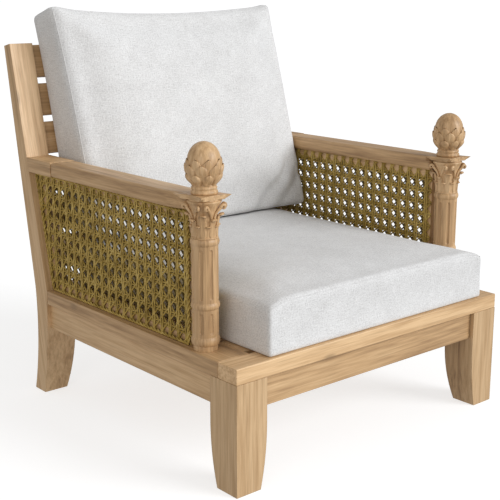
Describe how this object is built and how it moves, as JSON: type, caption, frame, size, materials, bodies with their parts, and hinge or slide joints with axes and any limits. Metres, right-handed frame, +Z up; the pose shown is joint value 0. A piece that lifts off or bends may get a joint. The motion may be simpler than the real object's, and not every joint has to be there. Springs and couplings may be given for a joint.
{
  "type": "garden armchair",
  "caption": "Low teak garden armchair with column arm posts, leaf-bud finials, cane arm panels, raked slat back and loose seat and back cushions.",
  "frame": {"origin": "on the floor, at the middle of the chair's plan", "axes": "+Z up, the sitter faces -Y, +X to the right when looking at the chair's front"},
  "size_m": [0.81, 0.8486, 0.9143],
  "materials": {
    "teak": "satin",
    "cane": "satin",
    "linen": "matte"
  },
  "bodies": {
    "frame": {"front_leg_left": "teak", "front_leg_right": "teak", "back_post_left": "teak", "back_post_right": "teak", "front_board": "teak", "rear_board": "teak", "side_board_left": "teak", "side_board_right": "teak", "front_apron": "teak", "rear_apron": "teak", "side_apron_left": "teak", "side_apron_right": "teak", "back_slat_1": "teak", "back_slat_2": "teak", "back_slat_3": "teak", "back_slat_4": "teak", "back_slat_5": "teak", "back_slat_6": "teak", "seat_slat_1": "teak", "seat_slat_2": "teak", "seat_slat_3": "teak", "seat_slat_4": "teak", "seat_slat_5": "teak", "seat_slat_6": "teak", "seat_slat_7": "teak", "slat_bearer_left": "teak", "slat_bearer_right": "teak", "arm_left": "teak", "arm_right": "teak", "arm_block_left": "teak", "arm_block_right": "teak", "column_left": "teak", "column_right": "teak", "capital_left": "teak", "capital_right": "teak", "abacus_left": "teak", "abacus_right": "teak", "finial_left": "teak", "finial_right": "teak", "panel_bottom_rail_left": "teak", "panel_bottom_rail_right": "teak", "panel_top_rail_left": "teak", "panel_top_rail_right": "teak", "panel_front_stile_left": "teak", "panel_front_stile_right": "teak", "panel_rear_stile_left": "teak", "panel_rear_stile_right": "teak", "cane_outer_left": "cane", "cane_outer_right": "cane", "cane_inner_left": "cane", "cane_inner_right": "cane", "cane_border_left": "cane", "cane_border_right": "cane"},
    "seat_cushion": {"seat_cushion": "linen"},
    "back_cushion": {"back_cushion": "linen"}
  },
  "joints": [
    {"name": "back_cushion_lift", "type": "slide", "parent": "frame", "child": "back_cushion", "axis": [0, 0.2062, 0.9785], "range_m": [0, 0.5]},
    {"name": "seat_cushion_pull", "type": "slide", "parent": "frame", "child": "seat_cushion", "axis": [0, -1, 0], "range_m": [0, 0.72]}
  ]
}
